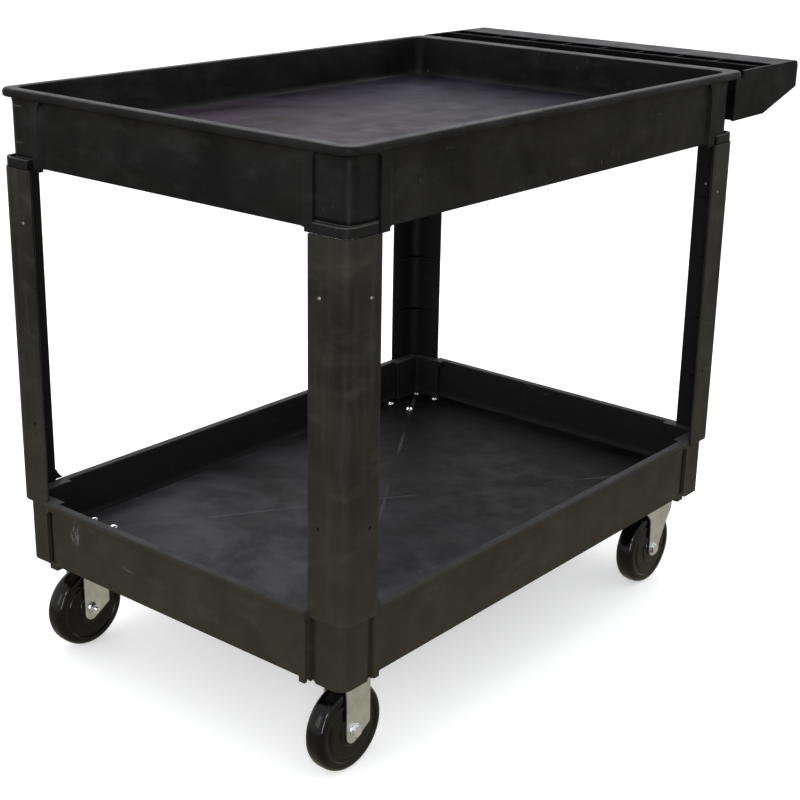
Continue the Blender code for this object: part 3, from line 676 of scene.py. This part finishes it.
def build_lower():
    bm = bmesh.new()
    base = LOW[0].z + 0.008

    def drop(lift):
        """Bottom edge: the corner blocks reach lower than the walls."""
        def height(x, y):
            corner = abs(x - X0) > L_NOTCH[0] + 0.0004 and abs(y) > L_NOTCH[1] + 0.0004
            return (LOW[0].z + 0.0002 if corner else base) + lift
        return height

    pan = around(lower_inner(0.012, 0.016), L_UNDER)
    rings = [scaled(pan, share, lambda x, y: L_UNDER) for share in (0.12, 0.55, 0.93)]
    rings.append(around(lower_inner(0.0098, 0.012), 0.1815))
    rings.append(around(lower_inner(0.0090, 0.012), base + 0.001))
    for dx, z in ((-0.0012, drop(0.0)), (0.0, drop(0.0012)), (0.0, 0.190), (0.0, 0.215),
                  (0.0, 0.2405)):
        rings.append(around(lower_outer(dx, FLUTE_HALF, FLUTE_DEPTH), z))
    for share, z in ((0.88, 0.2430), (0.62, 0.2450), (0.30, 0.2464)):
        rings.append(around(lower_outer(0.0, FLUTE_HALF * share, FLUTE_DEPTH), z))
    for dx, z in ((0.0, 0.2470), (0.0, 0.2502), (0.0022, 0.2506), (0.0031, 0.2512),
                  (0.0034, 0.2524), (0.0034, 0.2558), (0.0027, 0.2574), (0.0012, 0.25835),
                  (-0.0006, RIM.z)):
        rings.append(around(lower_outer(dx, *FADED_FLUTE), z))
    top = RIM.z
    for margin, z in ((0.0128, top), (0.0140, top - 0.0004), (0.0148, top - 0.0014),
                      (0.0150, top - 0.0032), (0.0156, top - 0.025), (0.0164, 0.2000),
                      (0.0172, 0.1945), (0.0192, 0.1892), (0.0225, L_FLOOR + 0.0001)):
        rings.append(around(lower_inner(margin, 0.0107 + (margin - 0.015)), z))
    edge = rings[-1]
    rings += [scaled(edge, share, lower_floor_height)
              for share in (0.965, 0.90, 0.82, 0.72, 0.61, 0.50, 0.39, 0.28, 0.18, 0.09)]
    loft(bm, rings, Vector((X0, 0, L_UNDER)), Vector((X0, 0, lower_floor_height(X0, 0))))
    for end, side in CORNERS:
        lower_corner(bm, end, side)
    piece_of("lower_tray_shell", bm, CART, "tray_plastic", M_LOWER_LIT, "lower_tray")


def lower_corner(bm, end, side):
    """The foot of one corner: tabs, rim ends, caster pads and the thicker floor over them."""
    def box(x_span, y_span, low, high, radius=0.0009):
        slab(bm, (X0 + end * x_span[0], side * y_span[0], low),
             (X0 + end * x_span[1], side * y_span[1], high), radius)

    foot = LOW[0].z + 0.0002
    wx, wy = RIM.x - 0.0038, RIM.y - 0.0038
    nx, ny = L_NOTCH
    if end == side:
        box((wx - 0.006, wx), (ny - 0.0110, ny - 0.0006), foot, 0.172)
        box((nx - 0.0110, nx - 0.0006), (wy - 0.006, wy), foot, 0.172)
    else:
        box((wx - 0.010, wx - 0.0002), (ny - 0.0182, ny - 0.0012), foot, 0.1640)
        box((nx - 0.0182, nx - 0.0012), (wy - 0.010, wy - 0.0002), foot, 0.1640)
        box((wx - 0.010, wx - 0.0042), (ny - 0.0128, ny - 0.0064), 0.1560, 0.2410, 0.0014)
        box((nx - 0.0128, nx - 0.0064), (wy - 0.010, wy - 0.0042), 0.1560, 0.2410, 0.0014)
    rim_low, rim_high = RIM.z - 0.0115, RIM.z - 0.0003
    box((RIM.x - 0.0255, RIM.x - 0.006), (ny - 0.0180, ny - 0.0010), rim_low, rim_high)
    box((nx - 0.0112, nx - 0.0010), (RIM.y - 0.0245, RIM.y - 0.006), rim_low, rim_high)
    box((0.3485, 0.4570), (0.2330, 0.3130), 0.1621, 0.1840, 0.0007)
    box((0.3000, 0.4500), (0.2215, 0.2990), 0.1860, 0.18728, 0.0004)


# ---- posts ----
def build_post(end, side):
    node = f"post_{ENDS[end]}_{SIDES[side]}"
    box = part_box(node)
    low, high = box[0].z, box[1].z
    x, y = POST
    wing, wall, radius = 0.0645, 0.0045, POST_RADIUS

    def section(z):
        """The angle's outline at a height; it widens a little towards its foot."""
        lean = 0.0009 * (1 - 2 * (z - low) / (high - low))
        fx, fy = x + lean, y + min(lean, 0.0004)
        points = [(fx - wing, fy - 0.0012), (fx - wing + 0.0008, fy - 0.0004),
                  (fx - wing + 0.0040, fy - 0.0003), (fx - wing + 0.0050, fy)]
        points += arc((fx - radius, fy - radius), radius, 90, 0, 12)
        points += [(fx, fy - wing + 0.0050), (fx - 0.0003, fy - wing + 0.0040),
                   (fx - 0.0004, fy - wing + 0.0008), (fx - 0.0012, fy - wing),
                   (fx - wall + 0.0010, fy - wing), (fx - wall, fy - wing + 0.0010)]
        points += arc((fx - radius, fy - radius), radius - wall, 0, 90, 10)
        points += [(fx - wing + 0.0010, fy - wall), (fx - wing, fy - wall + 0.0010)]
        return [Vector((X0 + end * a, side * b, z)) for a, b in points]

    def shrunk(ring, amount, z):
        """The ring moved inwards all round, at a new height."""
        flat = [Vector((p.x, p.y, z)) for p in ring]
        result = []
        for i, p in enumerate(flat):
            along = (flat[(i + 1) % len(flat)] - flat[i - 1]).normalized()
            result.append(p + Vector((along.y, -along.x, 0)) * (end * side) * amount)
        return result

    chamfer = 0.0009
    stations = [low + chamfer + (high - low - 2 * chamfer) * i / 12 for i in range(13)]
    rings = [section(z) for z in stations]
    rings = [shrunk(rings[0], 0.0007, low)] + rings + [shrunk(rings[-1], 0.0007, high)]
    piece = bmesh.new()
    rows = skin(piece, rings)
    piece.faces.new(rows[0])
    piece.faces.new(rows[-1])
    bmesh.ops.recalc_face_normals(piece, faces=piece.faces)
    bm = drilled(piece, end, side)
    wx, wy, reach = x - 0.002, y - 0.002, 0.0525
    web = [(wx - reach, wy)] + arc((wx - 0.0195, wy - 0.0195), 0.0195, 90, 0, 5)
    web += [(wx, wy - reach), (wx - 0.0035, wy - reach), (wx - 0.0090, wy - 0.0320),
            (wx - 0.0122, wy - 0.0240), (wx - 0.0180, wy - 0.0180), (wx - 0.0240, wy - 0.0122),
            (wx - 0.0320, wy - 0.0090), (wx - reach, wy - 0.0035)]
    for z in (0.350, 0.452, 0.556, 0.656):
        outline = [(X0 + end * a, side * b) for a, b in web]
        prism(bm, outline, z - 0.0014, z + 0.0014, "Z", 0.0006, 1)
    if end < 0:
        foot = low + 0.0097
        shape = [(0.004, foot), (-0.0098, foot), (-0.0098, foot + 0.0022),
                 (-0.0060, foot + 0.0050), (-0.0026, foot + 0.0095), (-0.0004, foot + 0.0150),
                 (0.004, foot + 0.0150)]
        prism(bm, [(X0 + end * (x - wing + a), b) for a, b in shape], side * (y - 0.0003),
              side * (y - wall - 0.0004), "Y", 0.0006)
    piece_of(f"{node}_angle", bm, CART, "post_plastic", M_POST, node)


def drilled(bm, end, side):
    """The same mesh with two rows of small holes, each closed halfway by a thin disc."""
    spots = [(axis, Vector((X0 + end * x, side * y, z)))
             for z in HOLE_ROWS for axis, (x, y) in HOLES.items()]
    tools = bmesh.new()
    for axis, spot in spots:
        piece = bmesh.new()
        bmesh.ops.create_cone(piece, cap_ends=True, segments=20, radius1=0.0028, radius2=0.0028,
                              depth=0.03)
        turn = Matrix.Rotation(math.pi / 2, 4, "Y" if axis == "X" else "X")
        bmesh.ops.transform(piece, matrix=Matrix.Translation(spot) @ turn, verts=piece.verts)
        grow(tools, piece)
    holders = []
    for source in (bm, tools):
        mesh = bpy.data.meshes.new("drilling")
        source.to_mesh(mesh)
        source.free()
        holders.append(bpy.data.objects.new("drilling", mesh))
        bpy.context.scene.collection.objects.link(holders[-1])
    step = holders[0].modifiers.new("holes", "BOOLEAN")
    step.operation = "DIFFERENCE"
    step.solver = "EXACT"
    step.object = holders[1]
    result = bmesh.new()
    result.from_object(holders[0], bpy.context.evaluated_depsgraph_get())
    for holder in holders:
        bpy.data.objects.remove(holder, do_unlink=True)
    disc = [(0.0, -0.0005), (0.0029, -0.0004), (0.0029, 0.0004), (0.0, 0.0005)]
    for axis, spot in spots:
        lathe(result, disc, spot, axis, 20)
    return result


# ---- push handle ----
def build_handle():
    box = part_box("push_handle")
    start, end, half = box[0].x, box[1].x, box[1].y
    top, low = box[1].z, box[0].z
    rim, ledge = UP[1].x + 0.0003, TOP_Z - 0.0123
    grip, rib, wall = X0 + 0.590, X0 + 0.545, 0.004
    lip_low, pocket_low = 0.8206, 0.8455        # lower edge of the front, floor of the pockets
    inside = half - wall
    across_to = inside + 0.001
    nose = arc((end - 0.009, top - 0.009), 0.009, 90, 0, 6) + [(end, lip_low)]
    bm = bmesh.new()
    side_shape = [(rim, top)] + nose
    side_shape += [(end - 0.003, 0.8190), (X0 + 0.5594, 0.7866), (start, low), (start, ledge),
                   (rim, ledge)]
    for side in (-1, 1):
        prism(bm, side_shape, side * inside, side * half, "Y", 0.0010, 3)
    grip_shape = [(grip, top - 0.0045), (grip, top - 0.0012), (grip + 0.0012, top)] + nose
    grip_shape += [(end - wall, lip_low), (end - wall, top - 0.0090),
                   (end - wall - 0.0040, top - 0.0045)]
    prism(bm, grip_shape, -across_to, across_to, "Y", 0.0006)
    slab(bm, (grip, -across_to, 0.826), (grip + wall, across_to, top - 0.001))
    slab(bm, (rib - 0.0015, -across_to, 0.800), (rib + 0.0015, across_to, top), 0.0012, 3)
    slab(bm, (rib, -across_to, pocket_low), (grip + 0.001, across_to, 0.8490), 0.0006)
    for i in range(-3, 4):
        y = 0.075 * i
        slab(bm, (rib, y - 0.0015, 0.8470), (grip + 0.001, y + 0.0015, top - 0.0016), 0.0009)
        slab(bm, (grip, y - 0.0012, 0.8262), (end - 0.003, y + 0.0012, top - 0.002), 0.0005, 1)
    web = [(rib, 0.8475), (grip, 0.8475), (grip, top - 0.003), (grip - 0.010, top - 0.0065),
           (grip - 0.022, top - 0.0100), (grip - 0.034, top - 0.0080), (rib, top - 0.003)]
    for side in (-1, 1):
        slab(bm, (start + 0.001, side * 0.2385, 0.8255), (rib, side * 0.2415, ledge), 0.0008)
        prism(bm, web, side * (inside - 0.020), side * (inside - 0.0165), "Y", 0.0008)
    slab(bm, (start, -0.2415, low + 0.0004), (start + wall, 0.2415, ledge), 0.0008)
    for side in (-1, 1):
        slab(bm, (start + 0.0034, side * 0.2640, low + 0.0010),
             (start + 0.0064, side * across_to, ledge), 0.0006)
    brace = [(start + wall - 0.001, 0.790), (start + 0.028, 0.812), (start + 0.028, 0.815),
             (start + wall - 0.001, 0.806)]
    for i in range(-2, 3):
        y = 0.100 * i
        prism(bm, brace, y - 0.0014, y + 0.0014, "Y", 0.0005, 1)
    piece_of("push_handle_moulding", bm, CART, "handle_plastic", M_HANDLE, "push_handle")


# ---- fasteners and casters ----
CHEEK = (0.0186, 0.0216)                        # faces of a fork's cheek, from the wheel's middle
WASHER_FACE = 0.0219
WASHER_RADIUS = 0.0098
AXLE_FLATS = 0.0165


def hexagon(bm, flats, low, high, at, axis):
    """A hexagonal head or nut with chamfered corners, between two stations along an axis."""
    cut = 0.13 * (high - low)
    trim, steps = 0.985, 36
    rings = []
    for station, full in ((low, False), (low + cut, True), (high - cut, True), (high, False)):
        ring = []
        for k in range(steps):
            t = 2 * math.pi * k / steps
            local = (t + math.pi / 6) % (math.pi / 3) - math.pi / 6
            radius = flats / 2 * trim
            if full:
                radius = min(flats / 2 / math.cos(local), flats / math.sqrt(3) * trim)
            place = across(axis, radius * math.cos(t), radius * math.sin(t), station)
            ring.append(Vector(at) + Vector(place))
        rings.append(ring)
    loft(bm, rings, *(Vector(at) + Vector(across(axis, 0, 0, o)) for o in (low, high)))


def rod(bm, radius, low, high, at, axis, chamfer=0.0006, steps=28):
    cut = math.copysign(chamfer, high - low)
    profile = [(0.0, low), (radius - chamfer, low), (radius, low + cut), (radius, high - cut),
               (radius - chamfer, high), (0.0, high)]
    lathe(bm, profile, at, axis, steps)


def build_wheel(tag, body, x, y):
    """Hard wheel: rounded tread, raised shoulder ring, groove and a stepped hub."""
    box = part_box(f"wheel_{tag}")
    radius = (box[1].z - box[0].z) / 2
    hub = (box[1].y - box[0].y) / 2
    face = 0.016
    half = [(radius, 0.0), (radius - 0.0001, 0.0055), (radius - 0.0008, 0.0092),
            (radius - 0.0024, 0.0125), (radius - 0.0049, 0.0149), (radius - 0.0078, face),
            (0.0512, face), (0.0498, face - 0.0003), (0.0490, face - 0.0014),
            (0.0478, face - 0.0022), (0.0440, face - 0.0022), (0.0428, face - 0.0014),
            (0.0420, face - 0.0004), (0.0405, face - 0.0001), (0.0260, face - 0.0001),
            (0.0240, face + 0.0004), (0.0232, hub - 0.0004), (0.0222, hub), (0.0078, hub),
            (0.0068, hub - 0.0008)]
    profile = half + [(r, -h) for r, h in reversed(half[1:])]
    bm = bmesh.new()
    lathe(bm, profile, (x, y, radius), "Y", 96)
    piece_of(f"wheel_{tag}_tyre", bm, body, "wheel_rubber", M_TYRE, f"wheel_{tag}", sharp=50)
    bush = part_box(f"hub_bushing_{tag}")
    tube = (bush[1].y - bush[0].y) / 2
    bm = bmesh.new()
    lathe(bm, [(0.0065, tube - 0.0004), (0.0061, tube), (0.0047, tube), (0.0043, tube - 0.0004),
               (0.0043, -tube + 0.0004), (0.0047, -tube), (0.0061, -tube),
               (0.0065, -tube + 0.0004)], (x, y, radius), "Y", 32)
    piece_of(f"hub_bushing_{tag}_tube", bm, body, "bushing_steel", M_BUSH, f"hub_bushing_{tag}")


def build_axle(tag, body, x, y):
    """The bolt with its washer and head on one side, the nut with its washer on the other."""
    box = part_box(f"axle_bolt_{tag}")
    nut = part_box(f"axle_nut_{tag}")
    z = (box[0].z + box[1].z) / 2
    out = 1 if (box[0].y + box[1].y) / 2 > (nut[0].y + nut[1].y) / 2 else -1
    cheek, at = WASHER_FACE, (x, y, z)
    bm = bmesh.new()
    rod(bm, WASHER_RADIUS, out * cheek, out * (cheek + 0.0013), at, "Y", 0.0004, 36)
    hexagon(bm, AXLE_FLATS, out * (cheek + 0.0012), out * (cheek + 0.0054), at, "Y")
    rod(bm, 0.0040, out * (cheek + 0.0015), -out * (cheek + 0.0088), at, "Y")
    piece_of(f"axle_bolt_{tag}_hex", bm, body, "bolt_steel", M_BRIGHT, f"axle_bolt_{tag}")
    bm = bmesh.new()
    near, far, bore = -out * (cheek + 0.0001), -out * (cheek + 0.0013), 0.0044
    washer = [(WASHER_RADIUS, near), (WASHER_RADIUS, far), (bore, far), (bore, near)]
    lathe(bm, washer, at, "Y", 36)
    hexagon(bm, AXLE_FLATS, -out * (cheek + 0.0012), -out * (cheek + 0.0062), at, "Y")
    piece_of(f"axle_nut_{tag}_hex", bm, body, "bolt_steel", M_BRIGHT, f"axle_nut_{tag}")


def cheek_pair(bm, outline, y):
    """The two cheeks of a fork."""
    for s in (-1, 1):
        prism(bm, outline, y + s * CHEEK[0], y + s * CHEEK[1], "Y", 0.0007)


def build_rigid(side):
    tag = f"rear_{SIDES[side]}"
    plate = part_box(f"rigid_fork_{tag}")
    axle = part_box(f"axle_nut_{tag}")
    x = (axle[0].x + axle[1].x) / 2
    y = (plate[0].y + plate[1].y) / 2
    top = plate[1].z
    below = top - 0.003
    bm = bmesh.new()
    slab(bm, (plate[0].x, plate[0].y, below), plate[1])
    back, ahead = x - 0.0165, x + 0.0310
    outline = [(ahead, below + 0.001), (back, below + 0.001), (back, 0.060)]
    outline += arc((x - 0.0040, 0.0580), 0.0125, 190, 290, 8)
    outline += [(x + 0.0300, 0.0640), (ahead, 0.0665)]
    cheek_pair(bm, outline, y)
    for s in (-1, 1):
        bend = [(0.0216, -0.0065), (0.0222, -0.0030), (0.0240, -0.0010), (0.0270, 0.0004),
                (0.0190, 0.0004), (0.0190, -0.0065)]
        prism(bm, [(y + s * a, below + b) for a, b in bend], back, ahead, "X", 0.0)
    piece_of(f"rigid_fork_{tag}_pressing", bm, CART, "zinc_steel", M_ZINC, f"rigid_fork_{tag}")
    build_wheel(tag, f"rolling_wheel_{tag}", x, y)
    build_axle(tag, CART, x, y)


def build_swivel(side):
    tag = f"front_{SIDES[side]}"
    body = f"swivel_{tag}"
    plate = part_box(f"caster_plate_{tag}")
    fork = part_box(f"swivel_fork_{tag}")
    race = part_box(f"bearing_race_{tag}")
    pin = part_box(f"kingpin_{tag}")
    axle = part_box(f"axle_nut_{tag}")
    x = (axle[0].x + axle[1].x) / 2
    y = (race[0].y + race[1].y) / 2
    pin_x = (race[0].x + race[1].x) / 2
    bm = bmesh.new()
    slab(bm, plate[0], plate[1])
    piece_of(f"caster_plate_{tag}_pressing", bm, CART, "zinc_steel", M_ZINC, f"caster_plate_{tag}")
    bm = bmesh.new()
    low, high = race[0].z, race[1].z
    ring = [(0.0225, high), (0.0243, high - 0.0010), (0.0250, high - 0.0030),
            (0.0246, high - 0.0048), (0.0238, (high + low) / 2), (0.0246, low + 0.0048),
            (0.0250, low + 0.0030), (0.0243, low + 0.0010), (0.0225, low), (0.0066, low),
            (0.0066, high)]
    lathe(bm, ring, (pin_x, y, 0), "Z", 56)
    piece_of(f"bearing_race_{tag}_ring", bm, CART, "zinc_steel", M_ZINC, f"bearing_race_{tag}")
    crown_top = fork[1].z
    crown_low = crown_top - 0.0085
    bm = bmesh.new()
    lathe(bm, [(0.0255, crown_top), (0.0270, crown_top - 0.0015), (0.0270, crown_low + 0.001),
               (0.0262, crown_low), (0.0064, crown_low), (0.0064, crown_top)],
          (pin_x, y, 0), "Z", 56)
    back = x - 0.0238
    for x_low, x_high in ((back, pin_x - 0.0075), (pin_x + 0.0075, pin_x + 0.0205)):
        slab(bm, (x_low, y - 0.0214, crown_low + 0.0008), (x_high, y + 0.0214, crown_top - 0.0042),
             0.0012)
    outline = [(x + 0.0538, crown_low + 0.002), (back, crown_low + 0.002), (back, 0.1310)]
    outline += [(x - 0.0205, 0.1262), (x - 0.0150, 0.1215), (x - 0.0122, 0.1150)]
    outline += [(x - 0.0105, 0.0700)] + arc((x + 0.003, 0.0625), 0.0137, 185, 340, 9)
    outline += [(x + 0.0350, 0.0960), (x + 0.0480, 0.1140), (x + 0.0530, 0.1220)]
    outline += [(x + 0.0543, 0.1300)]
    cheek_pair(bm, outline, y)
    piece_of(f"swivel_fork_{tag}_pressing", bm, body, "zinc_steel", M_ZINC, f"swivel_fork_{tag}")
    bm = bmesh.new()
    rod(bm, 0.0060, pin[0].z + 0.004, pin[1].z, (pin_x, y, 0), "Z")
    hexagon(bm, 0.0158, pin[0].z + 0.0001, pin[0].z + 0.0060, (pin_x, y, 0), "Z")
    piece_of(f"kingpin_{tag}_hex", bm, CART, "bolt_steel", M_BRIGHT, f"kingpin_{tag}")
    build_wheel(tag, f"rolling_wheel_{tag}", x, y)
    build_axle(tag, body, x, y)


def build_bolts():
    """The casters' carriage bolts, each with its nut, and the handle's screws."""
    for name in sorted(n for n in NODES if n.startswith("carriage_bolt_")):
        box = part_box(name)
        x, y = (box[0].x + box[1].x) / 2, (box[0].y + box[1].y) / 2
        top, low = box[1].z, box[0].z
        bm = bmesh.new()
        dome = [(0.0, top), (0.0030, top - 0.0002), (0.0052, top - 0.0010), (0.0068, top - 0.0020),
                (0.0078, top - 0.0030), (0.0080, top - 0.0036), (0.0076, top - 0.0039),
                (0.0039, top - 0.0039), (0.0039, low + 0.0008), (0.0033, low), (0.0, low)]
        lathe(bm, dome, (x, y, 0), "Z", 32)
        hexagon(bm, 0.0119, low + 0.0032, low + 0.0094, (x, y, 0), "Z")
        piece_of(f"{name}_domed", bm, CART, "bolt_steel", M_BRIGHT, name)
    for name in sorted(n for n in NODES if n.startswith("handle_screw_")):
        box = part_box(name)
        at = (0, (box[0].y + box[1].y) / 2, (box[0].z + box[1].z) / 2)
        bm = bmesh.new()
        rod(bm, 0.0055, box[1].x - 0.0034, box[1].x, at, "X", 0.0012, 32)
        rod(bm, 0.0024, box[0].x, box[1].x - 0.002, at, "X", 0.0004, 20)
        piece_of(f"{name}_pan", bm, CART, "bolt_steel", M_BRIGHT, name)


build_upper()
build_lower()
for corner in CORNERS:
    build_post(*corner)
build_handle()
for each in (-1, 1):
    build_rigid(each)
    build_swivel(each)
build_bolts()


# ---- stage, light and camera ----
def light_panel(name, at, look_at, size, power, colour=(1, 1, 1)):
    data = bpy.data.lights.new(name, "AREA")
    data.shape = "RECTANGLE"
    data.size, data.size_y = size
    data.energy = power
    data.color = colour
    obj = bpy.data.objects.new(name, data)
    obj.location = at
    obj.rotation_mode = "QUATERNION"
    obj.rotation_quaternion = (Vector(look_at) - Vector(at)).to_track_quat("-Z", "Y")
    obj.visible_camera = False
    bpy.context.scene.collection.objects.link(obj)


def build_stage():
    bm = bmesh.new()
    bmesh.ops.create_grid(bm, x_segments=2, y_segments=2, size=16.0)
    bmesh.ops.translate(bm, vec=(0, 0, cad_low.z - 0.0002), verts=bm.verts)
    mesh = bpy.data.meshes.new("studio_floor")
    bm.to_mesh(mesh)
    bm.free()
    floor = bpy.data.objects.new("studio_floor", mesh)
    p = Paint("studio_floor_paper", roughness=0.9, specular=0.1)
    p.shader.inputs["Base Color"].default_value = (0.80, 0.80, 0.80, 1)
    p.shader.inputs["Emission Color"].default_value = (1, 1, 1, 1)
    p.shader.inputs["Emission Strength"].default_value = 0.42
    floor.data.materials.append(p.material)
    floor.visible_diffuse = False
    floor.visible_glossy = False
    bpy.context.scene.collection.objects.link(floor)
    world = bpy.data.worlds.new("studio")
    world.use_nodes = True
    nodes, links = world.node_tree.nodes, world.node_tree.links
    split = nodes.new("ShaderNodeSeparateXYZ")
    links.new(nodes.new("ShaderNodeTexCoord").outputs["Generated"], split.inputs[0])
    level = nodes.new("ShaderNodeMapRange")
    level.interpolation_type = "SMOOTHSTEP"
    links.new(split.outputs["Z"], level.inputs["Value"])
    level.inputs["From Min"].default_value = -0.22
    level.inputs["From Max"].default_value = -0.02
    blend = nodes.new("ShaderNodeMix")
    blend.data_type = "RGBA"
    links.new(level.outputs["Result"], blend.inputs["Factor"])
    blend.inputs[6].default_value = (0.42, 0.385, 0.29, 1)
    blend.inputs[7].default_value = (1.0, 1.01, 1.03, 1)
    links.new(blend.outputs[2], nodes["Background"].inputs["Color"])
    bpy.context.scene.world = world
    light_panel("key_overhead", (0.9, 0.6, 3.2), (0.1, 0.0, 0.5), (3.2, 3.2), 50)
    light_panel("fill_rear", (-3.6, 0.9, 1.3), (0.0, 0.0, 0.5), (1.6, 1.6), 20, (1.0, 0.97, 0.92))
    light_panel("camera_side", (-2.9, -2.5, 2.1), (-0.2, 0.0, 0.5), (0.5, 0.5), 25)
    light_panel("upright_strip", (-2.45, -2.05, 0.45), (-0.57, -0.33, 0.45), (0.30, 1.3), 24)


def build_camera():
    data = bpy.data.cameras.new("product_camera")
    data.lens = 70.2
    data.sensor_width = 36
    camera = bpy.data.objects.new("product_camera", data)
    right = Vector((0.63685526, -0.77076346, 0.01841387))
    down = Vector((-0.24759239, -0.22707891, -0.94187747))
    ahead = Vector((0.73014614, 0.59528049, -0.33545157))
    at = Vector((X0 - 1.7921, -1.4882, 1.1892))
    rows = [(right[i], -down[i], -ahead[i], at[i]) for i in range(3)]
    camera.matrix_world = Matrix(rows + [(0, 0, 0, 1)])
    data.clip_end = 100
    bpy.context.scene.collection.objects.link(camera)
    bpy.context.scene.camera = camera


build_stage()
build_camera()
bpy.context.scene.view_settings.view_transform = "Standard"
